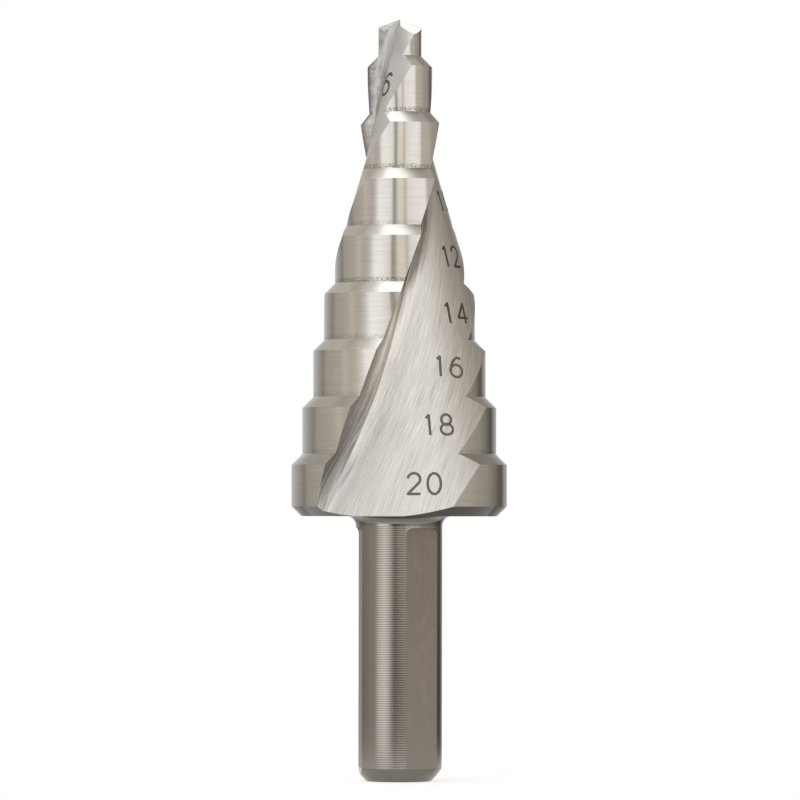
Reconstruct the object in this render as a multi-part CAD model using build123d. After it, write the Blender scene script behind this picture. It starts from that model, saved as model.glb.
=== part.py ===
"""Step drill, 4 to 20 mm in nine steps, ground from one bar with two spiral flutes.

Frame: millimetres, +Z along the tool from the shank's end face, at z = 0, to the point.
Bearings are degrees round the axis: 0 looks along -Y, and they grow towards +X.
Depths are measured down from the point, heights up from the shank's end.
"""

from build123d import *
from math import atan2, ceil, cos, degrees, exp, hypot, log, radians, sin, tan
import os

# --- Steps -----------------------------------------------------------------------------------
first_diameter = 4.0
step_diameter_gain = 2.0  # each step is this much larger across than the one before
step_count = 9  # 4, 6, 8 ... 20 mm
first_land_length = 3.46  # depth at which the first, pilot step ends
step_pitch = 5.27  # from one step to the next
step_angle = 45.0  # between a step's cone and the axis
last_land_length = 3.85  # straight wall of the largest step
shoulder_chamfer = 0.9  # across the lower corner of the largest step

# --- Shank -----------------------------------------------------------------------------------
shank_diameter = 8.0
shank_length = 24.5  # from the end face to the underside of the largest step
neck_fillet = 0.9
end_chamfer = 1.0
end_chamfer_height = 1.2
end_crown_radius = 6.0  # radius of the chamfer's slight crown
flat_count = 3
flat_depth = 0.4  # taken off the shank at each flat
flat_length = 23.4  # from the shank's end
flat_corner_radius = 0.6
first_flat_bearing = 35.4

# --- Point -----------------------------------------------------------------------------------
point_angle = 138.0
lip_clearance = 13.5  # fall of the narrow facet behind each lip
heel_clearance = 38.0  # fall of the wide facet behind it
heel_facet_turn = 85.0  # from a lip back to the fall line of its wide facet
split_angle = 75.0  # opening of the notch that thins the web
split_fall = 43.0  # slope of the notch's floor

# --- Flutes ----------------------------------------------------------------------------------
flute_count = 2
edge_bearings = (107.2, 68.1, 26.2, -5.8, -31.9, -50.4)  # cutting edge, point to shoulder
heel_turn = 77.7  # from the cutting edge to the heel, at the foot of a step
face_rise = 0.34  # growth of the face's radius for each radian round it, as a share
tip_face_rise = 0.30  # extra growth near the point
tip_face_length = 14.0  # depth over which it fades
tip_narrowing = 0.49  # how much slimmer the web is at the point, as a share
tip_narrowing_length = 2.75  # depth over which it fades
web_share = 0.62  # web radius, as a share of the tool's own radius there
shoulder_web_share = 0.99  # where the flute runs out
runout_length = 18.0
runout_power = 1.7  # how late the flute rises in that length
root_turn = 56.0  # turn at which the root meets the face, at the point
last_root_turn = 2.5  # the same, far below the point
root_turn_length = 9.0  # depth over which the one fades to the other
root_share = 0.3  # least radius of the root, as a share of the tool's own radius
section_count = 16
face_points = 11  # on the face of each section
cutter_reach = 1.6  # how far out the cutter goes, as a share of the tool's radius
cutter_crown = 1.1  # bulge of its outer side
longest_face = 179  # most that the face may turn, in whole degrees
overrun_length = 1.0  # how far the cutters pass the material


def land_radius(step):
    return first_diameter / 2 + step * step_diameter_gain / 2


cone_height = step_diameter_gain / 2 / tan(radians(step_angle))
flute_end = first_land_length + (step_count - 2) * step_pitch + cone_height + last_land_length + shoulder_chamfer
overall_length = flute_end + shank_length


def revolved_body():
    """The turned bar: shank, neck, shoulder and the stair of steps, with a flat top."""
    shank_radius = shank_diameter / 2
    shoulder_radius = land_radius(step_count - 1)
    side = [
        (shank_radius, end_chamfer_height),
        (shank_radius, shank_length - neck_fillet),
    ]
    end_face = Line((0, 0), (shank_radius - end_chamfer, 0))
    end = RadiusArc((shank_radius - end_chamfer, 0), side[0], -end_crown_radius)
    neck = RadiusArc(side[-1], (shank_radius + neck_fillet, shank_length), neck_fillet)
    stair = [
        (shank_radius + neck_fillet, shank_length),
        (shoulder_radius - shoulder_chamfer, shank_length),
        (shoulder_radius, shank_length + shoulder_chamfer),
    ]
    for step in range(step_count - 1, 0, -1):
        foot = overall_length - first_land_length - (step - 1) * step_pitch
        stair.append((land_radius(step), foot - cone_height))
        stair.append((land_radius(step - 1), foot))
    stair.append((land_radius(0), overall_length))
    stair.append((0, overall_length))
    axis = Line(stair[-1], (0, 0))
    outline = end_face + end + Line(*side) + neck + Polyline(*stair) + axis
    return revolve(Plane.XZ * make_face(outline), Axis.Z)


def below(fall, bearing):
    """A block that lies under a plane through the point, falling at `fall` degrees to a bearing."""
    size = 4 * overall_length
    top = Location((0, 0, overall_length), (0, 0, bearing - 90)) * Rotation(0, fall, 0)
    return top * Pos(0, 0, -size / 2) * Box(size, size, size)


def lip_facets():
    """Both lips' clearance facets, as the blocks that the point is kept inside."""
    lip = edge_bearings[0]
    along = tan(radians(90 - point_angle / 2))
    behind = tan(radians(lip_clearance))
    narrow = degrees(atan2(behind, along))
    narrow_fall = degrees(atan2((along**2 + behind**2) ** 0.5, 1))
    kept = []
    for flute in range(flute_count):
        turn = 360 / flute_count * flute
        kept.append(below(narrow_fall, lip - narrow + turn))
        kept.append(below(heel_clearance, lip - heel_facet_turn + turn))
    return kept


def split_notch(turn):
    """The notch ground beside the chisel edge, which brings the opposite lip in to the centre."""
    reach = land_radius(0) + overrun_length
    lip = edge_bearings[0] + turn
    corners = [(0, 0)]
    for bearing in (lip, lip + split_angle):
        corners.append((reach * sin(radians(bearing)), -reach * cos(radians(bearing))))
    wedge = extrude(make_face(Polyline(*corners, close=True)), amount=2 * reach)
    wedge = Pos(0, 0, overall_length - 2 * reach + overrun_length) * wedge
    return wedge - below(split_fall, lip + split_angle / 2)


def edge_bearing(depth):
    """Bearing of the first cutting edge: a smooth curve through the values at equal stations."""
    last = len(edge_bearings) - 1
    place = depth / flute_end * last
    total = 0.0
    for i, bearing in enumerate(edge_bearings):
        weight = 1.0
        for j in range(last + 1):
            if j != i:
                weight *= (place - j) / (i - j)
        total += weight * bearing
    return total


def tool_radius(depth):
    """Radius of the cone that runs through the foot of every step."""
    return land_radius(0) + (depth - first_land_length) * step_diameter_gain / 2 / step_pitch


def face_law(depth):
    """The flute's broad face there: its radius at the heel's foot, and that radius's rise and bend."""
    narrowing = 1 - tip_narrowing * exp(-max(depth, 0) / tip_narrowing_length)
    rise = face_rise + tip_face_rise * exp(-((depth / tip_face_length) ** 2))
    runout = max(1 - (flute_end - depth) / runout_length, 0)
    web = web_share + (shoulder_web_share - web_share) * runout**runout_power
    span = radians(heel_turn)
    return tool_radius(depth) * narrowing, rise, (log(web) + rise * span) / span**2


def face_point(law, turn):
    """Point of the face `turn` degrees on from the wall, the face's direction there, its radius."""
    foot_radius, rise, bend = law
    on = radians(turn - heel_turn)
    radius = foot_radius * exp(rise * on + bend * on**2)
    slope = rise + 2 * bend * on
    across, up = cos(radians(turn)), sin(radians(turn))
    direction = (slope * across - up, slope * up + across)
    return (radius * across, radius * up), direction, radius


def flute_section(depth):
    """Closed section of one flute's cutter: rake wall, round root, broad face and an outer arc."""
    law = face_law(depth)
    outer = cutter_reach * tool_radius(depth) + overrun_length
    first = last_root_turn + (root_turn - last_root_turn) * exp(-depth / root_turn_length)
    foot, direction, _ = face_point(law, first)
    root_radius = max(foot[1] / (1 + direction[0] / hypot(*direction)), root_share * tool_radius(depth))
    reach = (foot[1] * (2 * root_radius - foot[1])) ** 0.5
    sweep = atan2(reach, root_radius - foot[1]) / 2
    top = (foot[0] + reach, 0)
    middle = (top[0] - root_radius * sin(sweep), root_radius * (1 - cos(sweep)))
    wall = Line((outer, 0), top)
    root = ThreePointArc(top, middle, foot)
    last = ceil(first)
    while face_point(law, last)[2] < outer and last < longest_face:
        last += 1
    points = []
    for i in range(face_points):
        points.append(face_point(law, first + (last - first) * i / (face_points - 1))[0])
    end_direction = face_point(law, last)[1]
    face = Spline(*points, tangents=(direction, end_direction))
    crown = cutter_crown * outer
    half_turn = radians(last / 2)
    closing = ThreePointArc(points[-1], (crown * cos(half_turn), crown * sin(half_turn)), (outer, 0))
    section = make_face(wall + root + face + closing)
    turned = Rotation(0, 0, edge_bearing(depth) - 90)
    return Pos(0, 0, overall_length - depth) * turned * section


def flute_cutter():
    """One flute, as the solid that its grinding takes away."""
    sections = []
    for i in range(section_count):
        sections.append(flute_section((flute_end + 2 * overrun_length) * i / (section_count - 1) - overrun_length))
    return loft(sections)


def flat_cutter(bearing):
    """What one flat takes off the shank: a block with rounded upper corners."""
    shank_radius = shank_diameter / 2
    flat_distance = shank_radius - flat_depth
    half_width = (shank_radius**2 - flat_distance**2) ** 0.5
    profile = Rectangle(2 * half_width, flat_length + overrun_length)
    top = profile.vertices().group_by(Axis.Y)[-1]
    profile = Pos(0, (flat_length - overrun_length) / 2) * fillet(top, flat_corner_radius)
    block = extrude(Plane.XZ * profile, amount=flat_depth + overrun_length)
    return Rotation(0, 0, bearing) * Pos(0, -flat_distance, 0) * block


def step_drill():
    drill = revolved_body()
    for block in lip_facets():
        drill &= block
    cutter = flute_cutter()
    for flute in range(flute_count):
        turn = 360 / flute_count * flute
        drill -= Rotation(0, 0, turn) * cutter
        drill -= split_notch(turn)
    for flat in range(flat_count):
        drill -= flat_cutter(first_flat_bearing + 360 / flat_count * flat)
    return drill


os.makedirs("parts", exist_ok=True)
export_step(step_drill(), "parts/step_drill.step")
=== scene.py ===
from math import cos, pi, radians, sin

import bmesh
import bpy
from mathutils import Matrix, Vector


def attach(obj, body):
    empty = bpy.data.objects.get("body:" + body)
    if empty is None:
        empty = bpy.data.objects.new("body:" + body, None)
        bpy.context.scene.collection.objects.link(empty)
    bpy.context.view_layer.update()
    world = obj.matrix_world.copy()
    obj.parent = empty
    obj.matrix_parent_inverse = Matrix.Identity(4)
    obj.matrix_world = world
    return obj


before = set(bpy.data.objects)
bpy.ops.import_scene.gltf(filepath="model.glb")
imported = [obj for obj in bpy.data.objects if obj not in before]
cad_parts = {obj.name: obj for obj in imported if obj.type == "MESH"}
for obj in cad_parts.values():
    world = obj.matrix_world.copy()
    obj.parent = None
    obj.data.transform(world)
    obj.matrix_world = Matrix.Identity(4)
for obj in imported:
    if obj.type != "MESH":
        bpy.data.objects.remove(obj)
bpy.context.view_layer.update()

MM = 0.001
DEGREE = pi / 180

# Sizes of the drill, in millimetres, and its bearings in degrees from -Y towards +X.
# Heights are measured up from the shank's end, depths down from the point.
FIRST_RADIUS = 2.0
STEP_GAIN = 1.0
STEP_COUNT = 9
FIRST_LAND = 3.46
STEP_PITCH = 5.27
LAST_LAND = 3.85
SHOULDER_CHAMFER = 0.9
SHANK_LENGTH = 24.5
SHANK_RADIUS = 4.0
END_CHAMFER_HEIGHT = 1.2
FLAT_BEARING = 35.4
FLAT_SPACING = 120.0
FLUTE_SPACING = 180.0
FLUTE_END = FIRST_LAND + (STEP_COUNT - 2) * STEP_PITCH + STEP_GAIN + LAST_LAND + SHOULDER_CHAMFER
LENGTH = SHANK_LENGTH + FLUTE_END
EDGE_BEARINGS = (107.2, 68.1, 26.2, -5.8, -31.9, -50.4)  # cutting edge, point to shoulder
ROOT_TURN = 56.0  # turn at which the root meets the face, at the point
LAST_ROOT_TURN = 2.5  # the same, far below the point
ROOT_TURN_LENGTH = 9.0  # depth over which the one fades to the other


# --- Writing rules into node trees --------------------------------------------------------------


class Value:
    """A value in a node tree, which plain sums can be written with."""

    def __init__(self, tree, socket):
        self.tree, self.socket = tree, socket

    def apply(self, operation, *others):
        return calculate(self.tree, operation, self, *others)

    def __add__(self, other):
        return self.apply("ADD", other)

    __radd__ = __add__

    def __sub__(self, other):
        return self.apply("SUBTRACT", other)

    def __rsub__(self, other):
        return calculate(self.tree, "SUBTRACT", other, self)

    def __mul__(self, other):
        return self.apply("MULTIPLY", other)

    __rmul__ = __mul__

    def __truediv__(self, other):
        return self.apply("DIVIDE", other)

    def __pow__(self, other):
        return self.apply("POWER", other)


def new_material(name):
    """A material, its node tree and its shader."""
    material = bpy.data.materials.new(name)
    material.use_nodes = True
    return material, material.node_tree, material.node_tree.nodes["Principled BSDF"]


def put(tree, socket, item):
    """Fills a socket, with a link or a plain value."""
    if isinstance(item, Value):
        tree.links.new(item.socket, socket)
    else:
        socket.default_value = item


def add_node(tree, kind, inputs=None, **settings):
    """A new node, with its settings made and its inputs filled by number or by name."""
    node = tree.nodes.new(kind)
    for name, setting in settings.items():
        setattr(node, name, setting)
    for name, item in (inputs or {}).items():
        put(tree, node.inputs[name], item)
    return node


def calculate(tree, operation, *parts):
    node = add_node(tree, "ShaderNodeMath", dict(enumerate(parts)), operation=operation)
    return Value(tree, node.outputs[0])


def vector_sum(tree, operation, *parts):
    node = add_node(tree, "ShaderNodeVectorMath", dict(enumerate(parts)), operation=operation)
    return Value(tree, node.outputs["Vector"])


def combine(tree, *parts):
    return Value(tree, add_node(tree, "ShaderNodeCombineXYZ", dict(enumerate(parts))).outputs[0])


def separate(vector):
    node = add_node(vector.tree, "ShaderNodeSeparateXYZ", {0: vector})
    return [Value(vector.tree, socket) for socket in node.outputs]


def object_place(tree):
    return Value(tree, add_node(tree, "ShaderNodeTexCoord").outputs["Object"])


def bearing_of(x, y):
    """Bearing of a direction, in degrees from -Y towards +X."""
    return x.apply("ARCTAN2", 0 - y) * (1 / DEGREE)


def clamp(value, low=0.0, high=1.0):
    return value.apply("MAXIMUM", low).apply("MINIMUM", high)


def rise(value, low, high):
    """Smooth 0 to 1 as the value goes from low to high, which may be the lesser."""
    node = add_node(value.tree, "ShaderNodeMapRange", {0: value, 1: low, 2: high},
                    interpolation_type="SMOOTHSTEP")
    return Value(value.tree, node.outputs[0])


def between(value, first, second):
    """1 inside both fades, each given as its low and its high."""
    return rise(value, *first) * rise(value, *second)


def stretch(value, gain):
    """The same value with more contrast round a half."""
    return clamp((value - 0.5) * gain + 0.5)


def blend(share, first, second):
    """A colour that is `share` of the way from the first to the second."""
    tree = share.tree
    node = add_node(tree, "ShaderNodeMix", data_type="RGBA")
    put(tree, node.inputs["Factor"], share)
    for socket, item in zip([s for s in node.inputs if s.type == "RGBA"], (first, second)):
        put(tree, socket, item if isinstance(item, Value) else (*item, 1.0))
    return Value(tree, [s for s in node.outputs if s.type == "RGBA"][0])


def colour_ramp(place, stops, interpolation="LINEAR"):
    node = add_node(place.tree, "ShaderNodeValToRGB", {0: place})
    node.color_ramp.interpolation = interpolation
    elements = node.color_ramp.elements
    elements.remove(elements[1])
    elements[0].position, elements[0].color = stops[0][0], (*stops[0][1], 1)
    for position, colour in stops[1:]:
        elements.new(position).color = (*colour, 1)
    return Value(place.tree, node.outputs[0])


def noise(vector, detail, roughness, scale=1.0):
    node = add_node(vector.tree, "ShaderNodeTexNoise",
                    {"Vector": vector, "Scale": scale, "Detail": detail, "Roughness": roughness})
    return Value(vector.tree, node.outputs[0])


def polynomial(values):
    """Coefficients, lowest first, of the curve through values at 0, 1, 2 ..."""
    total = [0.0] * len(values)
    for i, value in enumerate(values):
        basis = [1.0]
        for j in range(len(values)):
            if j != i:
                raised = [0.0] + [c / (i - j) for c in basis]
                lowered = [-j * c / (i - j) for c in basis] + [0.0]
                basis = [a + b for a, b in zip(raised, lowered)]
        total = [a + value * b for a, b in zip(total, basis)]
    return total


# --- Places on the drill ------------------------------------------------------------------------

# Where one surface of the drill passes into the next, as the two ends of each fade.
SHOULDER_SEAM = (-0.02, 0.02)  # from the shoulder's height
STAIR_SEAM = (-0.05, -0.02)  # from the radius of the steps and cones
FACET_SLOPE = (0.55, 0.6)  # upward part of the normal
FACET_END = (3.0, 2.9)  # depth
WALL_SEAM = (0.6, -0.2)  # degrees past the root
FLAT_SEAM = (-0.005, -0.03)  # from the shank's radius
FLAT_FOOT = (0.02, 0.1)  # from the top of the end chamfer
FLAT_TOP = (-0.98, -1.05)  # from the shoulder's height
CONE_SLOPE = (0.3, 0.5)  # upward part of the normal
UNDERSIDE_SLOPE = (-0.2, -0.5)  # upward part of the normal
UNDERSIDE_START = (10.0, 12.0)  # height
SIDE_START = (0.0, 0.1)  # from the top of the end chamfer

BELOW_CHAMFER = 2.0  # how far the shoulder's chamfer is followed down
WALL_MARGIN = 20.0  # degrees before the wall that still belong to its flute
FARTHEST_FROM_ROOT = 9.0  # what is farther counts as this far
RUNOUT_HEIGHTS = (36.0, 26.0)
RUNOUT_DRIFT = 2.0  # how far the streaks of the wall drift in as the flute runs out

# Patterns in the steel: the ways that they run, and for each way how many grains there are in a
# millimetre, or, where there is no way, a place of their own in the noise. Then their detail,
# their roughness, and their contrast where it is raised.
PATTERNS = {
    "turning": (("arc", None, "z"), (0.20, 0.0, 13.0), 2.0, 0.6, 2.0),
    "clouds": (("arc", None, "z"), (0.5, 3.0, 1.2), 3.0, 0.6, None),
    "bands": (("arc", None, "z"), (1.6, 9.0, 0.30), 2.0, 0.5, 2.4),
    "burr": (("arc", None, "z"), (5.0, 5.0, 9.0), 3.0, 0.75, None),
    "streaks": (("across", None, "depth"), (10.0, 7.0, 0.30), 4.0, 0.7, 3.2),
    "wall_streaks": (("lane", None, "depth"), (4.5, 21.0, 0.16), 4.0, 0.65, 3.4),
    "tip_streaks": (("across", None, "depth"), (7.0, 41.0, 0.5), 4.0, 0.8, 3.6),
    "broad_streaks": (("across", None, "depth"), (1.8, 11.0, 0.09), 3.0, 0.6, 2.6),
    "cream": (("across", None, "depth"), (1.1, 31.0, 0.13), 3.0, 0.6, None),
    "fringe": (("across", None, "depth"), (2.5, 51.0, 0.12), 4.0, 0.7, 3.0),
    "grain": (("x", "y", "z"), (6.0, 6.0, 6.0), 3.0, 0.6, None),
    "mottle": (("x", "y", "z"), (0.9, 0.9, 0.55), 4.0, 0.65, 2.6),
    "scratches": (("x", "y", "z"), (9.0, 9.0, 0.5), 3.0, 0.6, 1.6),
}


def edge_bearing(depth):
    """Bearing of the first cutting edge, in degrees, as a rule in a node tree."""
    place = depth * ((len(EDGE_BEARINGS) - 1) / FLUTE_END)
    coefficients = polynomial(EDGE_BEARINGS)
    total = place * coefficients[-1] + coefficients[-2]
    for coefficient in reversed(coefficients[:-2]):
        total = total * place + coefficient
    return total


def stair_radius(depth):
    """Radius of the steps and cones at a depth, the way past the step's start, and the step."""
    beyond = depth - FIRST_LAND
    step = clamp((beyond / STEP_PITCH).apply("FLOOR"), -1.0, STEP_COUNT - 2)
    past = beyond - step * STEP_PITCH
    stair = FIRST_RADIUS + step + clamp(past, 0.0, STEP_GAIN)
    chamfer = clamp(depth - (FLUTE_END - SHOULDER_CHAMFER), 0.0, BELOW_CHAMFER)
    return stair - chamfer, past, step


class Spot:
    """Where a point of the drill lies, in millimetres and degrees, and on which surface."""

    def __init__(self, tree):
        self.tree = tree
        self.x, self.y, self.z = [part * (1 / MM) for part in separate(object_place(tree))]
        self.normal = Value(tree, add_node(tree, "ShaderNodeNewGeometry").outputs["Normal"])
        self.radius = (self.x * self.x + self.y * self.y) ** 0.5
        self.depth = LENGTH - self.z
        self.bearing = bearing_of(self.x, self.y)
        self.arc = self.bearing * self.radius * DEGREE
        self.stair, self.past, self.step = stair_radius(self.depth)
        self.outwards = self.radius / self.stair
        self.find_flute()
        self.find_surfaces()
        self.patterns = {name: self.pattern(*row) for name, row in PATTERNS.items()}

    def find_flute(self):
        """The way across the flute from its wall, and how far its rounded root reaches."""
        ahead = self.bearing - edge_bearing(self.depth) + WALL_MARGIN
        turn = ahead.apply("FLOORED_MODULO", FLUTE_SPACING) - WALL_MARGIN
        fade = (self.depth * (-1 / ROOT_TURN_LENGTH)).apply("EXPONENT")
        root_end = LAST_ROOT_TURN + fade * (ROOT_TURN - LAST_ROOT_TURN)
        self.past_root_turn = turn - root_end
        self.across = turn * self.radius * DEGREE
        past_root = self.across - root_end * self.radius * DEGREE
        self.past_root = clamp(past_root, 0.0, FARTHEST_FROM_ROOT)
        foot_cone = FIRST_RADIUS + (self.depth - FIRST_LAND) / STEP_PITCH
        self.lane = self.radius - foot_cone - rise(self.z, *RUNOUT_HEIGHTS) * RUNOUT_DRIFT

    def find_surfaces(self):
        """1 on each surface of the drill, and 0 elsewhere."""
        upward = separate(self.normal)[2]
        from_shoulder = self.z - SHANK_LENGTH
        from_chamfer = self.z - END_CHAMFER_HEIGHT
        above_shoulder = rise(from_shoulder, *SHOULDER_SEAM)
        self.on_stair = rise(self.radius - self.stair, *STAIR_SEAM)
        self.on_cone = self.on_stair * rise(upward, *CONE_SLOPE)
        self.on_flute = above_shoulder * (1 - self.on_stair)
        self.on_facet = self.on_flute * rise(upward, *FACET_SLOPE) * rise(self.depth, *FACET_END)
        self.on_wall = self.on_flute * rise(self.past_root_turn, *WALL_SEAM)
        self.on_face = self.on_flute * (1 - self.on_wall) * (1 - self.on_facet)
        self.on_shank = 1 - above_shoulder
        self.on_side = rise(from_chamfer, *SIDE_START)
        self.on_flat = (self.on_shank * rise(self.radius - SHANK_RADIUS, *FLAT_SEAM)
                        * rise(from_chamfer, *FLAT_FOOT) * rise(from_shoulder, *FLAT_TOP))
        self.on_underside = rise(upward, *UNDERSIDE_SLOPE) * rise(self.z, *UNDERSIDE_START)

    def pattern(self, ways, grains, detail, roughness, contrast):
        """A pattern of the steel, 0 to 1, as it falls on the surface."""
        parts = [getattr(self, way) * each if way else each for way, each in zip(ways, grains)]
        value = noise(combine(self.tree, *parts), detail, roughness)
        return stretch(value, contrast) if contrast else value


# --- Steel --------------------------------------------------------------------------------------

# A tone is the light that the steel throws back, and a pair of tones is the dark and the
# light of a pattern. A SHARE is how strongly a tone covers what is under it. Other pairs are
# the two ends of a fade: of heights unless the note beside it says otherwise.
LAND = ((0.49, 0.475, 0.45), (0.60, 0.588, 0.565))
LAND_BANDS = (0.47, 0.455, 0.43)
LAND_BANDS_SHARE = 0.35

BURR = (0.16, 0.148, 0.132)
BURR_SHARE = 0.85
BURR_GRAINS = (0.49, 0.54)  # of its pattern
BURR_REACH = (-0.52, -0.26)  # from the edge of the cone below
BURR_BY_STEP = (0.12, 1.0, 1.0, 0.35, 1.0, 0.55, 0.35, 0.35, 0.0)  # point to shank
PILOT_PLACE = 1.5  # brings the pilot, step -1, to the middle of the first place

CONE = ((0.54, 0.525, 0.50), (0.68, 0.67, 0.65))
TARNISH = (0.31, 0.294, 0.272)
TARNISH_SHARE = 0.62
TARNISH_START = (39.0, 31.0)
TARNISH_SIDE = (-72.0, -62.0)  # bearings
TARNISH_WEAR = (0.0, 30.0)  # bearings over which it grows thin
TARNISH_WORN_AWAY = 0.32
TARNISH_GRAINS = (0.35, 0.65)  # of the clouds
THIN_TARNISH = 0.75
THICKER_TARNISH = 0.35  # added where it is thick

FACE = ((0.42, 0.402, 0.38), (0.92, 0.892, 0.855))
CALM_FACE = (0.67, 0.65, 0.622)
CALM_TOP = (42.0, 48.0)
CALM_TOP_SHARE = 0.45
CALM_FOOT = (34.0, 28.0)
CALM_FOOT_SHARE = 0.25
BROAD_STREAKS = (0.56, 0.548, 0.545)
BROAD_STREAKS_SHARE = 0.45
CREAM = (0.78, 0.745, 0.69)
CREAM_SHARE = 0.5
CREAM_GRAINS = (0.5, 0.75)  # of its pattern

# Painted light: the face just past the root is lightened, standing in for light that the wall
# shades in its reflection. The same place is also made smoother.
ROOT_PAINTED_LIGHT = (0.86, 0.84, 0.81)
ROOT_PAINTED_LIGHT_SHARE = 0.6
POLISH_AND_LIGHT_WIDTH = (1.3, 0.2)  # past the root
POLISH_AND_LIGHT_START = (29.0, 32.0)
POLISH_AND_LIGHT_END = (46.0, 43.0)

FRINGE = 0.6  # how far the edge of a shade wanders
TOP_SHADE = (0.20, 0.183, 0.163)
TOP_SHADE_START = (41.0, 44.0)
TOP_SHADE_END = (55.5, 52.0)
TOP_SHADE_WIDTH = 0.55
TOP_SHADE_GROWTH = 0.80
TOP_SHADE_WIDENS = (44.5, 48.0)
TOP_SHADE_EDGE = 0.9
FOOT_SHADE = ((0.30, 0.296, 0.30), (0.68, 0.67, 0.665))
FOOT_SHADE_SHARE = 0.85
FOOT_SHADE_START = (30.5, 28.8)
FOOT_SHADE_WIDTH = 0.45
FOOT_SHADE_GROWTH = 0.75
FOOT_SHADE_WIDENS = (26.0, 29.0)
FOOT_SHADE_EDGE = 0.35

# Painted reflection and shade on the wall: its tones by height, and the darker tones of its outer
# edge, stand in for what it reflects. Its streaks are the grinding.
HIGH_WALL = ((0.54, 0.513, 0.475), (0.97, 0.935, 0.885))
LOW_WALL = ((0.26, 0.257, 0.262), (0.82, 0.81, 0.815))
TOP_WALL = ((0.26, 0.24, 0.214), (0.62, 0.58, 0.53))
HIGH_EDGE_SHADE = ((0.20, 0.186, 0.168), (0.43, 0.405, 0.37))
LOW_EDGE_SHADE = ((0.28, 0.268, 0.258), (0.58, 0.568, 0.56))
LOW_WALL_START = (38.0, 32.0)
TOP_WALL_START = (44.0, 48.0)
WALL_EDGE = (0.96, 0.66)  # shares of the way out

TIP_START = (14.0, 8.0)  # depth
TIP_WALL = ((0.19, 0.189, 0.192), (0.80, 0.79, 0.78))
TIP_STREAKS = 0.7  # the rest of the pattern is mottle
# Painted shade: a dark rim along the outer edge of the wall near the point.
TIP_RIM = (0.15, 0.143, 0.135)
TIP_RIM_SHARE = 0.9
TIP_RIM_PLACE = (0.86, 0.99)  # shares of the way out
TIP_RIM_START = (3.2, 4.5)  # depth
TIP_END = (0.68, 0.67, 0.66)
TIP_END_SHARE = 0.4
TIP_END_START = (4.5, 3.0)  # depth
TIP_FACE = (0.60, 0.585, 0.57)
TIP_FACE_SHARE = 0.6
LIP_FACE = (0.44, 0.43, 0.42)
LIP_FACE_SHARE = 0.5
LIP_FACE_START = (4.2, 2.6)  # depth
FACET = (0.545, 0.545, 0.54)

RING_PITCH = 0.215
RINGS = ((0.15, 0.139, 0.127), (0.43, 0.403, 0.37))
RINGS_START = (52.6, 56.6)  # degrees past a flat's middle
RINGS_END = (95.6, 89.6)  # the same
LEAST_RINGS = 0.15
DEEP_RINGS = (73.6, 79.6)  # the same
SHALLOW_RINGS = 0.55
SHANK_CLOUDS = (0.26, 0.242, 0.222)
SHANK_CLOUDS_SHARE = 0.3
# Painted shade on the shank's end chamfer, which faces down to the floor.
END_CHAMFER_SHADE = (0.19, 0.176, 0.155)

FLAT = ((0.258, 0.228, 0.203), (0.318, 0.284, 0.255))
FLAT_MOTTLE = (0.34, 0.308, 0.28)
FLAT_MOTTLE_SHARE = 0.5
FLAT_MOTTLE_GRAINS = (0.5, 1.0)  # of its pattern
FLAT_END = (0.235, 0.213, 0.188)
FLAT_END_SHARE = 0.5
FLAT_END_START = (12.0, 4.0)

# Painted shade on the shoulder's underside, which faces down: darkest on its chamfer, and lighter
# there towards -X.
UNDERSIDE_SHADE = (0.17, 0.155, 0.135)
UNDER_RIM_SHADE = ((0.076, 0.069, 0.058), (0.138, 0.128, 0.112))
UNDER_RIM_TURN = (4.0, -6.0)  # along X
UNDER_RIM_START = (8.9, 9.1)  # radius

# Roughness of the lands, what each other surface adds to it, and how much clouds change it.
LAND_ROUGHNESS = 0.155
CONE_ROUGHER = 0.06
FACE_ROUGHER = 0.125
POLISH_SMOOTHER = 0.06
WALL_ROUGHER = 0.165
TIP_WALL_ROUGHER = 0.12
SHANK_ROUGHER = 0.045
FLAT_ROUGHER = 0.22
CLOUD_ROUGHNESS = 0.06

# How far grinding lines draw a reflection out, and how much they lean round the tool.
GRINDING_STRETCH = 0.6
CONE_STRETCH_LOSS = 0.3
GRINDING_LEAN = 0.04

# Heights of the fine relief, as shares of one unit.
RELIEF_UNIT = 0.02 * MM
TURNING_RELIEF = 0.04
STREAK_RELIEF = 0.2
STREAK_RELIEF_LOSS = 0.12
STREAK_RELIEF_FADE = (42.0, 47.0)
BURR_RELIEF = 0.04
RING_RELIEF = 0.045
GRAIN_RELIEF = 0.05
ROOT_EASING = 19.0
ROOT_EASING_WIDTH = 1.8
ROOT_EASING_START = (2.0, 8.0)  # depth


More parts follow.
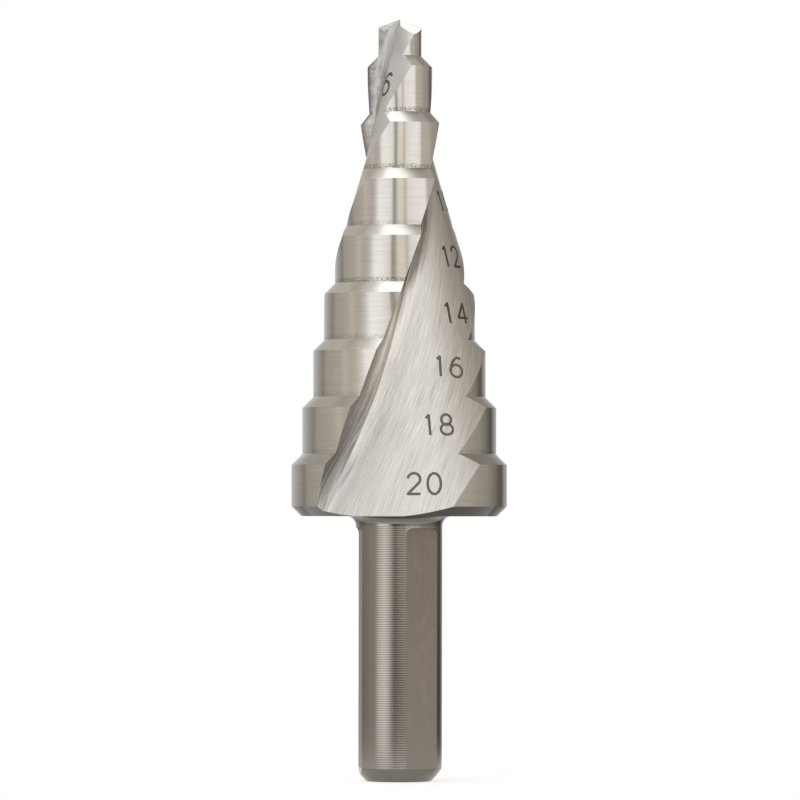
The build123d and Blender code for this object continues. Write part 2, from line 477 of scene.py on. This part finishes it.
class Finish:
    """How strongly the finishes that several rules share, and the painted light beside the root,
    show at a spot.
    """

    def __init__(self, spot):
        self.near_tip = rise(spot.depth, *TIP_START)
        polished_and_lit_heights = between(spot.z, POLISH_AND_LIGHT_START, POLISH_AND_LIGHT_END)
        # Painted light beside the root, which is also smoother there.
        self.polish_and_painted_light = rise(spot.past_root, *POLISH_AND_LIGHT_WIDTH) * polished_and_lit_heights
        self.burr = self.burr_above_cones(spot)
        self.rings = (spot.z * (2 * pi / RING_PITCH)).apply("SINE") * 0.5 + 0.5
        past_flat = (spot.bearing - FLAT_BEARING).apply("FLOORED_MODULO", FLAT_SPACING)
        ringed = between(past_flat, RINGS_START, RINGS_END) * (1 - LEAST_RINGS) + LEAST_RINGS
        self.ringed = ringed * spot.on_side
        self.ring_depth = SHALLOW_RINGS + rise(past_flat, *DEEP_RINGS) * (1 - SHALLOW_RINGS)

    @staticmethod
    def burr_above_cones(spot):
        stops = [(i / STEP_COUNT, (left, left, left)) for i, left in enumerate(BURR_BY_STEP)]
        left = colour_ramp((spot.step + PILOT_PLACE) / STEP_COUNT, stops, "CONSTANT")
        reach = rise(spot.past - STEP_PITCH, *BURR_REACH)
        return rise(spot.patterns["burr"], *BURR_GRAINS) * spot.on_stair * reach * left


def land_tone(spot, finish):
    """Fine turning lines round the lands, broken up along their way."""
    tone = blend(spot.patterns["turning"], *LAND)
    tone = blend(spot.patterns["bands"] * LAND_BANDS_SHARE, tone, LAND_BANDS)
    return blend(finish.burr * BURR_SHARE, tone, BURR)


def cone_tone(spot):
    """The cones, tarnished on the larger steps."""
    clouds = spot.patterns["clouds"]
    tarnish = rise(spot.z, *TARNISH_START) * rise(spot.bearing, *TARNISH_SIDE)
    tarnish = tarnish * (TARNISH_SHARE - rise(spot.bearing, *TARNISH_WEAR) * TARNISH_WORN_AWAY)
    tarnish = tarnish * (THIN_TARNISH + rise(clouds, *TARNISH_GRAINS) * THICKER_TARNISH)
    return blend(tarnish, blend(clouds, *CONE), TARNISH)


def face_tone(spot, finish):
    """The flute's broad face, streaked along its grinding, with painted light and a shade beside
    the wall.
    """
    streaks = spot.patterns["streaks"]
    calm = rise(spot.z, *CALM_TOP) * CALM_TOP_SHARE + rise(spot.z, *CALM_FOOT) * CALM_FOOT_SHARE
    tone = blend(calm, blend(streaks, *FACE), CALM_FACE)
    tone = blend(spot.patterns["broad_streaks"] * BROAD_STREAKS_SHARE, tone, BROAD_STREAKS)
    tone = blend(rise(spot.patterns["cream"], *CREAM_GRAINS) * CREAM_SHARE, tone, CREAM)
    # Painted light: the face is lightened just past the root, where the wall shades its
    # reflection.
    tone = blend(finish.polish_and_painted_light * ROOT_PAINTED_LIGHT_SHARE, tone, ROOT_PAINTED_LIGHT)
    from_root = spot.past_root + (spot.patterns["fringe"] - 0.5) * FRINGE
    width = TOP_SHADE_WIDTH + rise(spot.z, *TOP_SHADE_WIDENS) * TOP_SHADE_GROWTH
    shade = clamp((width - from_root) / TOP_SHADE_EDGE)
    tone = blend(between(spot.z, TOP_SHADE_START, TOP_SHADE_END) * shade, tone, TOP_SHADE)
    width = FOOT_SHADE_WIDTH + rise(spot.z, *FOOT_SHADE_WIDENS) * FOOT_SHADE_GROWTH
    shade = rise(spot.z, *FOOT_SHADE_START) * clamp((width - from_root) / FOOT_SHADE_EDGE)
    return blend(shade * FOOT_SHADE_SHARE, tone, blend(streaks, *FOOT_SHADE))


def wall_tone(spot, finish):
    """The flute's narrow wall, streaked along the flute, with painted reflection and shade: its
    tones by height and its darker outer edge.
    """
    streaks = spot.patterns["wall_streaks"]
    low = rise(spot.z, *LOW_WALL_START)
    tone = blend(low, blend(streaks, *HIGH_WALL), blend(streaks, *LOW_WALL))
    tone = blend(rise(spot.z, *TOP_WALL_START), tone, blend(streaks, *TOP_WALL))
    # Painted shade along the wall's outer edge.
    edge = blend(low, blend(streaks, *HIGH_EDGE_SHADE), blend(streaks, *LOW_EDGE_SHADE))
    tone = blend(rise(spot.outwards, *WALL_EDGE), edge, tone)
    return blend(finish.near_tip, tone, tip_wall_tone(spot))


def tip_wall_tone(spot):
    """The same wall beside the point, streaked more finely."""
    streaks = spot.patterns["tip_streaks"] * TIP_STREAKS
    mottle = spot.patterns["mottle"] * (1 - TIP_STREAKS)
    tone = blend(streaks + mottle, *TIP_WALL)
    # Painted shade along the wall's outer edge.
    rim = rise(spot.outwards, *TIP_RIM_PLACE) * rise(spot.depth, *TIP_RIM_START)
    tone = blend(rim * TIP_RIM_SHARE, tone, TIP_RIM)
    return blend(rise(spot.depth, *TIP_END_START) * TIP_END_SHARE, tone, TIP_END)


def shank_tone(spot, finish):
    """The round shank, with fine rings on the side away from the flats, and its end chamfer in
    painted shade.
    """
    rings = (finish.rings - 0.5) * finish.ringed * finish.ring_depth + 0.5
    tone = blend(rings, *RINGS)
    tone = blend(spot.patterns["clouds"] * SHANK_CLOUDS_SHARE, tone, SHANK_CLOUDS)
    # The end chamfer in painted shade.
    return blend(spot.on_side, END_CHAMFER_SHADE, tone)


def flat_tone(spot):
    """The shank's flats: long fine scratches, a little mottled and darker at the end."""
    mottle = rise(spot.patterns["mottle"], *FLAT_MOTTLE_GRAINS)
    tone = blend(spot.patterns["scratches"], *FLAT)
    tone = blend(mottle * FLAT_MOTTLE_SHARE, tone, FLAT_MOTTLE)
    return blend(rise(spot.z, *FLAT_END_START) * FLAT_END_SHARE, tone, FLAT_END)


def underside_tone(spot):
    """The shoulder's underside, in painted shade, darkest on its chamfer."""
    rim = blend(rise(spot.x, *UNDER_RIM_TURN), *UNDER_RIM_SHADE)
    return blend(rise(spot.radius, *UNDER_RIM_START), UNDERSIDE_SHADE, rim)


def steel_tone(spot, finish):
    tip_face = spot.on_face * finish.near_tip * TIP_FACE_SHARE
    lip_face = spot.on_face * rise(spot.depth, *LIP_FACE_START) * LIP_FACE_SHARE
    tone = blend(spot.on_cone, land_tone(spot, finish), cone_tone(spot))
    for share, over in (
        (spot.on_face, face_tone(spot, finish)), (spot.on_wall, wall_tone(spot, finish)),
        (tip_face, TIP_FACE), (lip_face, LIP_FACE), (spot.on_facet, FACET),
        (spot.on_shank, shank_tone(spot, finish)), (spot.on_flat, flat_tone(spot)),
        (spot.on_underside, underside_tone(spot)),
    ):
        tone = blend(share, tone, over)
    return tone


def steel_roughness(spot, finish):
    face = spot.on_face * (FACE_ROUGHER - finish.polish_and_painted_light * POLISH_SMOOTHER)
    wall = spot.on_wall * (WALL_ROUGHER + finish.near_tip * TIP_WALL_ROUGHER)
    shank = spot.on_shank * SHANK_ROUGHER + spot.on_flat * FLAT_ROUGHER
    clouds = (spot.patterns["clouds"] - 0.5) * CLOUD_ROUGHNESS
    return LAND_ROUGHNESS + spot.on_cone * CONE_ROUGHER + face + wall + shank + clouds


def grinding_direction(spot):
    """Across the grinding on the flutes, and up the tool everywhere else."""
    tree = spot.tree
    around = combine(tree, (0 - spot.y) * GRINDING_LEAN, spot.x * GRINDING_LEAN, 1.0)
    across = vector_sum(tree, "CROSS_PRODUCT", spot.normal, around)
    in_flute = spot.on_face + spot.on_wall
    node = add_node(tree, "ShaderNodeMix", {"Factor": in_flute}, data_type="VECTOR")
    up_socket, across_socket = [s for s in node.inputs if s.type == "VECTOR" and s.enabled][-2:]
    put(tree, up_socket, (0.0, 0.0, 1.0))
    put(tree, across_socket, across)
    direction = Value(tree, [s for s in node.outputs if s.type == "VECTOR"][0])
    return vector_sum(tree, "NORMALIZE", direction)


def steel_relief(spot, finish):
    """Height of the fine relief, in its unit."""
    streak_height = STREAK_RELIEF - rise(spot.z, *STREAK_RELIEF_FADE) * STREAK_RELIEF_LOSS
    relief = spot.patterns["turning"] * spot.on_stair * TURNING_RELIEF - finish.burr * BURR_RELIEF
    relief = relief + spot.patterns["streaks"] * spot.on_flute * streak_height
    round_shank = spot.on_shank * (1 - spot.on_flat)
    relief = relief + finish.rings * round_shank * finish.ringed * RING_RELIEF
    relief = relief + spot.patterns["grain"] * spot.on_flat * GRAIN_RELIEF
    # The face turns gently away from the wall where the two meet.
    easing = clamp(1 - spot.past_root * (1 / ROOT_EASING_WIDTH))
    below_tip = rise(spot.depth, *ROOT_EASING_START)
    return relief + easing * easing * spot.on_flute * below_tip * ROOT_EASING


def drill_steel():
    material, tree, shader = new_material("ground_steel")
    spot = Spot(tree)
    finish = Finish(spot)
    stretched = GRINDING_STRETCH * (1 - spot.on_shank) - spot.on_cone * CONE_STRETCH_LOSS
    bump = add_node(tree, "ShaderNodeBump", {"Strength": 1.0, "Distance": RELIEF_UNIT,
                                             "Height": steel_relief(spot, finish)})
    put(tree, shader.inputs["Base Color"], steel_tone(spot, finish))
    put(tree, shader.inputs["Metallic"], 1.0)
    put(tree, shader.inputs["Roughness"], steel_roughness(spot, finish))
    put(tree, shader.inputs["Anisotropic"], stretched)
    put(tree, shader.inputs["Tangent"], grinding_direction(spot))
    tree.links.new(bump.outputs[0], shader.inputs["Normal"])
    return material


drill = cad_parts["step_drill"]
steel = drill_steel()
drill.data.materials[0] = steel
for slot in drill.material_slots:
    slot.material = steel


# --- Size numbers -------------------------------------------------------------------------------

# The ink of the numbers: dark and light tones, and the grain between them.
INKS = {
    "dark_mark": ((0.042, 0.036, 0.030), (0.11, 0.098, 0.085)),
    "pale_mark": ((0.085, 0.077, 0.068), (0.20, 0.184, 0.166)),
}
INK_GRAINS = 9000.0  # in a metre
INK_DETAIL = 3.0
INK_GRAIN_ROUGHNESS = 0.6
INK_CONTRAST = 2.0
INK_ROUGHNESS = 0.42
INK_GRAIN_ROUGHER = 0.2
INK_METAL = 0.4

NIB_SIDES = 10
STROKE = 0.25  # width of a number's strokes
STROKE_RISE = 0.16  # how far a stroke stands out, as a share of half its width
STROKE_STEP = 0.04  # between a stroke's points, as a share of the number's height
START_ABOVE = 2.0  # a stroke comes down on the face from this far above it
LAYING_REACH = 6.0  # the farthest that it may come down
OUTSIDE = 20.0  # a distance from the axis that is clear of the drill

# The numbers: ink, bearing and height of the middle, lean in degrees, height of the figures,
# gap between them as a share of that height, and width of the strokes.
SIZE_NUMBERS = {
    "20": ("pale_mark", 15.1, 27.5, 0.0, 1.95, 0.34, STROKE),
    "18": ("pale_mark", 28.3, 32.9, 2.5, 1.92, 0.47, STROKE),
    "16": ("pale_mark", 42.9, 38.25, -3.0, 1.92, 0.46, STROKE),
    "14": ("dark_mark", 61.3, 43.25, 0.0, 1.92, 0.46, STROKE),
    "12": ("dark_mark", 75.6, 48.55, 2.0, 1.95, 0.40, STROKE),
    "10": ("dark_mark", 98.5, 53.8, 2.0, 1.90, 0.52, STROKE),
    "6": ("dark_mark", -40.0, 64.5, -9.0, 2.12, 0.0, 0.28),
}


def arc_points(centre, size, start, end, count=18):
    """Points of an arc, its angles in degrees, anticlockwise from the right."""
    points = []
    for i in range(count + 1):
        angle = radians(start + (end - start) * i / count)
        points.append((centre[0] + size[0] * cos(angle), centre[1] + size[1] * sin(angle)))
    return points


# Each figure's strokes, in a box of height 1, and its width.
FIGURES = {
    "0": ([arc_points((0.31, 0.5), (0.31, 0.5), 0, 360, 32)], 0.62),
    "1": ([[(0.0, 0.84), (0.14, 1.0), (0.14, 0.0)]], 0.20),
    "2": ([arc_points((0.30, 0.71), (0.29, 0.29), 172, -42) + [(0.0, 0.0), (0.60, 0.0)]], 0.60),
    "4": ([[(0.46, 0.0), (0.46, 1.0), (0.0, 0.27), (0.64, 0.27)]], 0.64),
    "6": ([arc_points((0.31, 0.31), (0.31, 0.31), 0, 360, 28),
           [(0.012, 0.38), (0.06, 0.60), (0.17, 0.82), (0.32, 0.96), (0.45, 0.985),
            (0.56, 0.90)]], 0.62),
    "8": ([arc_points((0.30, 0.745), (0.235, 0.255), 0, 360, 28),
           arc_points((0.30, 0.265), (0.295, 0.265), 0, 360, 28)], 0.60),
}


def mark_ink(name, dark, light):
    material, tree, shader = new_material(name)
    grain = noise(object_place(tree), INK_DETAIL, INK_GRAIN_ROUGHNESS, INK_GRAINS)
    put(tree, shader.inputs["Base Color"], blend(stretch(grain, INK_CONTRAST), dark, light))
    put(tree, shader.inputs["Roughness"], INK_ROUGHNESS + grain * INK_GRAIN_ROUGHER)
    put(tree, shader.inputs["Metallic"], INK_METAL)
    return material


def finely(stroke):
    """The stroke with points close enough together to lie on a curved face."""
    points = [stroke[0]]
    for before, after in zip(stroke, stroke[1:]):
        reach = Vector(after) - Vector(before)
        count = max(1, round(reach.length / STROKE_STEP))
        points += [tuple(Vector(before) + reach * (i + 1) / count) for i in range(count)]
    return points


def number_strokes(text, gap):
    """The strokes of a number as a mesh of loose edges, centred on the origin."""
    lines, left = [], 0.0
    for figure in text:
        strokes, width = FIGURES[figure]
        for stroke in strokes:
            lines.append([(left + across, up) for across, up in finely(stroke)])
        left += width + gap
    middle = (left - gap) / 2
    mesh = bpy.data.meshes.new("strokes")
    points, edges = [], []
    for line in lines:
        edges += [(len(points) + i, len(points) + i + 1) for i in range(len(line) - 1)]
        points += [(across - middle, up - 0.5, 0.0) for across, up in line]
    mesh.from_pydata(points, edges, [])
    return mesh


def number_tree():
    """Sweeps a number's strokes and lays them on the drill."""
    tree = bpy.data.node_groups.new("laid_number", "GeometryNodeTree")
    sockets = {"Drill": "Object", "Mark": "Material", "Centre": "Vector", "Right": "Vector",
               "Up": "Vector", "Outward": "Vector", "Height": "Float", "Stroke": "Float",
               "Rise": "Float"}
    tree.interface.new_socket("Geometry", in_out="INPUT", socket_type="NodeSocketGeometry")
    for name, kind in sockets.items():
        tree.interface.new_socket(name, in_out="INPUT", socket_type="NodeSocket" + kind)
    tree.interface.new_socket("Geometry", in_out="OUTPUT", socket_type="NodeSocketGeometry")
    start = add_node(tree, "NodeGroupInput")
    given = {socket.name: Value(tree, socket) for socket in start.outputs if socket.name}
    height, outward = given["Height"], given["Outward"]

    def made(kind, inputs=None, output=0, **settings):
        return Value(tree, add_node(tree, kind, inputs, **settings).outputs[output])

    def scaled(vector, length):
        return vector_sum(tree, "MULTIPLY", vector, combine(tree, length, length, length))

    def moved(place, vector, length):
        return vector_sum(tree, "ADD", place, scaled(vector, length))

    line = made("GeometryNodeMeshToCurve", {"Mesh": given["Geometry"]})
    nib_radius = given["Stroke"] / height / 2
    nib = made("GeometryNodeCurvePrimitiveCircle", {"Resolution": NIB_SIDES, "Radius": nib_radius})
    swept = made("GeometryNodeCurveToMesh",
                 {"Curve": line, "Profile Curve": nib, "Fill Caps": True})
    across, up, out = separate(made("GeometryNodeInputPosition"))
    on_plane = moved(given["Centre"], given["Right"], across * height)
    on_plane = moved(on_plane, given["Up"], up * height)
    target = made("GeometryNodeObjectInfo", {"Object": given["Drill"]}, "Geometry",
                  transform_space="RELATIVE")
    laying = add_node(tree, "GeometryNodeRaycast", {
        "Target Geometry": target,
        "Source Position": moved(on_plane, outward, START_ABOVE * MM),
        "Ray Direction": scaled(outward, -1.0),
        "Ray Length": LAYING_REACH * MM,
    })
    hit, landing = [Value(tree, laying.outputs[name]) for name in ("Is Hit", "Hit Position")]
    landed = moved(landing, outward, out * height * given["Rise"])
    laid = made("GeometryNodeSetPosition",
                {"Geometry": swept, "Position": landed, "Selection": hit})
    smooth = made("GeometryNodeSetShadeSmooth", {"Geometry": laid})
    whole = made("GeometryNodeRealizeInstances", {"Geometry": smooth})
    inked = made("GeometryNodeSetMaterial", {"Geometry": whole, "Material": given["Mark"]})
    put(tree, add_node(tree, "NodeGroupOutput").inputs[0], inked)
    return tree


def keep_result(piece, modifier):
    """Turns the modifier's result into the piece's own plain mesh."""
    shown = piece.evaluated_get(bpy.context.evaluated_depsgraph_get())
    mesh = bpy.data.meshes.new_from_object(shown)
    piece.modifiers.remove(modifier)
    piece.data = mesh


def lay_number(tree, text, ink, bearing, height, lean, size, gap, stroke):
    """One number, centred where its bearing and height meet the flute's face."""
    outward = Vector((sin(radians(bearing)), -cos(radians(bearing)), 0.0))
    source = outward * (OUTSIDE * MM) + Vector((0.0, 0.0, height * MM))
    _, centre, normal, _ = drill.ray_cast(source, -outward)
    up = (Vector((0.0, 0.0, 1.0)) - normal * normal.z).normalized()
    up = Matrix.Rotation(radians(lean), 3, normal) @ up
    piece = bpy.data.objects.new("number_" + text, number_strokes(text, gap))
    bpy.context.scene.collection.objects.link(piece)
    modifier = piece.modifiers.new("laid", "NODES")
    modifier.node_group = tree
    values = {"Drill": drill, "Mark": ink, "Centre": centre, "Right": up.cross(normal), "Up": up,
              "Outward": normal, "Height": size * MM, "Stroke": stroke * MM, "Rise": STROKE_RISE}
    for item in tree.interface.items_tree:
        if item.in_out == "INPUT" and item.name in values:
            modifier[item.identifier] = values[item.name]
    keep_result(piece, modifier)
    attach(piece, "root")


def size_numbers():
    tree = number_tree()
    inks = {name: mark_ink(name, *tones) for name, tones in INKS.items()}
    for text, (ink, *row) in SIZE_NUMBERS.items():
        lay_number(tree, text, inks[ink], *row)


size_numbers()


# --- Studio -------------------------------------------------------------------------------------

# Lengths of the studio are in metres.
ROOM_LIGHT = 0.6  # strength of the white room as a lamp; it is seen at 1

TENT_RADIUS = 3.0
TENT_SEGMENTS = (72, 36)
TENT_STRENGTH = 2.0
OPENING_START = 2.93  # panels farther back than this are left out
OPENING_HEIGHT = 0.5  # up and down

# Heights in degrees over which one part of the tent passes into the next.
SIDES_TO_BELOW = (1.2, -1.0)
SIDES_TO_DOME = (8.0, 24.0)
DOME_TO_TOP = (44.0, 54.0)
TOP_TURN = 0.45  # how far the bands overhead turn from X towards -Y

FLOOR_RADIUS = 0.05
FLOOR_SEGMENTS = 96
FLOOR_ROUGHNESS = 0.9
FLOOR_TONE = (0.75, 0.75, 0.75)
FLOOR_EDGE = (0.047, 0.022)  # radii over which the floor stops taking a shadow
SHADOW_TONE = (0.40, 0.40, 0.40)
SHADOW_ROOM = 0.28  # glow taken off the middle, so that a shadow shows

LENS = 267.05  # in millimetres, as the sensor is
SENSOR = 36.0
CLIPPING = (0.01, 20.0)
CAMERA_PLACE = (0.00006, -0.55, 0.025)
CAMERA_TILT = 91.07
CAMERA_ROLL = 0.1

WHITE, BLACK = (1.0, 1.0, 1.0), (0.0, 0.0, 0.0)


def dusk(level):
    return (level * 0.5, level * 0.458, level * 0.40)


def warm(level):
    return (level * 0.5, level * 0.475, level * 0.43)


def white(level):
    return (level * 0.5, level * 0.493, level * 0.48)


# The tent's cloth: bearings in degrees, and the light there.
SIDES = (
    (-180, white(0.68)), (-150, white(0.66)), (-132, warm(0.48)), (-121.5, dusk(0.40)),
    (-117, dusk(0.62)), (-86, dusk(0.74)), (-78, dusk(0.95)), (-58, dusk(0.62)),
    (-53, white(0.80)), (-45, white(1.42)), (-17, white(1.50)), (-13, dusk(0.54)),
    (-8, dusk(0.70)), (-4, warm(1.35)), (4, dusk(1.50)), (9, dusk(1.28)), (12, dusk(0.80)),
    (15, white(1.22)), (19, white(1.42)), (35, white(1.55)), (54, white(1.56)),
    (60, dusk(0.86)), (80, dusk(0.80)), (96, dusk(0.58)), (112, dusk(0.56)),
    (124, dusk(0.38)), (134, dusk(0.19)), (142, dusk(0.15)), (150, warm(0.42)),
    (162, white(0.50)), (180, white(0.68)),
)
BELOW = (
    (-180, white(0.60)), (-132, white(0.50)), (-122, dusk(0.26)), (-110, dusk(0.42)),
    (-90, dusk(0.54)), (-66, dusk(0.56)), (-58, white(1.80)), (-36, white(1.95)),
    (-27, white(1.20)), (-20, dusk(0.30)), (-15, dusk(0.10)), (4, dusk(0.10)),
    (14, warm(0.5)), (24, warm(0.72)), (56, warm(0.68)), (64, dusk(0.54)),
    (100, dusk(0.46)), (118, dusk(0.18)), (140, dusk(0.10)), (156, white(0.46)),
    (180, white(0.60)),
)
DOME = (
    (-180, white(0.56)), (-150, warm(0.62)), (-125, warm(0.74)), (-110, white(0.82)),
    (-85, white(0.74)), (-62, white(0.78)), (-50, white(0.93)), (-30, white(1.04)),
    (-10, white(1.08)), (20, white(1.07)), (30, white(0.99)), (50, warm(0.80)),
    (60, warm(0.69)), (80, dusk(0.54)), (100, dusk(0.41)), (125, dusk(0.37)),
    (145, dusk(0.34)), (155, warm(0.36)), (180, white(0.54)),
)
# Overhead: places across the bands, 0 to 1, and the light there.
TOP = (
    (0.0, dusk(0.44)), (0.14, dusk(0.44)), (0.20, dusk(0.62)), (0.25, warm(0.84)),
    (0.29, warm(0.95)), (0.335, white(1.40)), (0.36, white(1.99)), (0.54, white(1.99)),
    (0.562, white(1.50)), (0.585, warm(0.95)), (0.605, warm(0.70)), (0.63, warm(0.42)),
    (0.66, dusk(0.28)), (0.74, dusk(0.24)), (1.0, dusk(0.24)),
)


def see_through_paths(tree):
    """1 for what the camera, a reflection or glass shows."""
    paths = add_node(tree, "ShaderNodeLightPath")
    camera, glossy, glass = [
        Value(tree, paths.outputs[name])
        for name in ("Is Camera Ray", "Is Glossy Ray", "Is Transmission Ray")
    ]
    return camera.apply("MAXIMUM", glossy).apply("MAXIMUM", glass)


def stage_piece(name, shape):
    """A piece of the studio, made from a shape that is being built."""
    mesh = bpy.data.meshes.new(name)
    shape.to_mesh(mesh)
    shape.free()
    piece = bpy.data.objects.new(name, mesh)
    bpy.context.scene.collection.objects.link(piece)
    return piece


def white_world():
    world = bpy.data.worlds.new("white_room")
    world.use_nodes = True
    tree = world.node_tree
    background = tree.nodes["Background"]
    put(tree, background.inputs["Color"], (*WHITE, 1.0))
    seen = see_through_paths(tree)
    put(tree, background.inputs["Strength"], ROOM_LIGHT + seen * (1 - ROOM_LIGHT))
    bpy.context.scene.world = world


def tent_light():
    """The tent's light, in bands that change with bearing and height."""
    material, tree, _ = new_material("tent_light")
    tree.nodes.clear()
    x, y, z = separate(vector_sum(tree, "NORMALIZE", object_place(tree)))
    bearing_share = (bearing_of(x, y) + 180) / 360
    height = z.apply("ARCSINE") * (1 / DEGREE)

    def band(rows):
        return colour_ramp(bearing_share, [((angle + 180) / 360, tone) for angle, tone in rows])

    across_top = (x - y * TOP_TURN) * 0.5 + 0.5
    light = blend(rise(height, *SIDES_TO_DOME), band(SIDES), band(DOME))
    light = blend(rise(height, *DOME_TO_TOP), light, colour_ramp(across_top, TOP))
    light = blend(rise(height, *SIDES_TO_BELOW), light, band(BELOW))
    glow = add_node(tree, "ShaderNodeEmission", {"Color": light, "Strength": TENT_STRENGTH})
    output = add_node(tree, "ShaderNodeOutputMaterial")
    tree.links.new(glow.outputs[0], output.inputs["Surface"])
    return material


def studio_tent():
    """A round tent of soft light, open to the white room at the back."""
    shape = bmesh.new()
    around, up = TENT_SEGMENTS
    bmesh.ops.create_uvsphere(shape, u_segments=around, v_segments=up, radius=TENT_RADIUS)
    open_panels = []
    for panel in shape.faces:
        middle = panel.calc_center_median()
        if middle.y > OPENING_START and abs(middle.z) < OPENING_HEIGHT:
            open_panels.append(panel)
    bmesh.ops.delete(shape, geom=open_panels, context="FACES")
    tent = stage_piece("light_tent", shape)
    tent.visible_camera = False
    tent.visible_shadow = False
    tent.data.materials.append(tent_light())


def studio_floor():
    """A small white disc that shows white and still takes the drill's shadow."""
    shape = bmesh.new()
    bmesh.ops.create_circle(shape, cap_ends=True, segments=FLOOR_SEGMENTS, radius=FLOOR_RADIUS)
    floor = stage_piece("floor", shape)
    material, tree, shader = new_material("white_floor")
    seen = see_through_paths(tree)
    x, y, _ = separate(object_place(tree))
    inner = rise((x * x + y * y) ** 0.5, *FLOOR_EDGE)
    shadow_tone = blend(inner, BLACK, SHADOW_TONE)
    put(tree, shader.inputs["Base Color"], blend(seen, FLOOR_TONE, shadow_tone))
    put(tree, shader.inputs["Roughness"], FLOOR_ROUGHNESS)
    put(tree, shader.inputs["Specular IOR Level"], 0.0)
    put(tree, shader.inputs["Emission Color"], (*WHITE, 1.0))
    put(tree, shader.inputs["Emission Strength"], seen * (1.0 - inner * SHADOW_ROOM))
    floor.data.materials.append(material)


def studio_camera():
    data = bpy.data.cameras.new("camera")
    data.sensor_width = SENSOR
    data.lens = LENS
    data.clip_start, data.clip_end = CLIPPING
    camera = bpy.data.objects.new("camera", data)
    tilt = Matrix.Rotation(radians(CAMERA_TILT), 4, "X")
    roll = Matrix.Rotation(radians(CAMERA_ROLL), 4, "Z")
    camera.matrix_world = Matrix.Translation(CAMERA_PLACE) @ tilt @ roll
    bpy.context.scene.collection.objects.link(camera)
    bpy.context.scene.camera = camera


white_world()
studio_tent()
studio_floor()
studio_camera()
bpy.context.scene.view_settings.view_transform = "Standard"
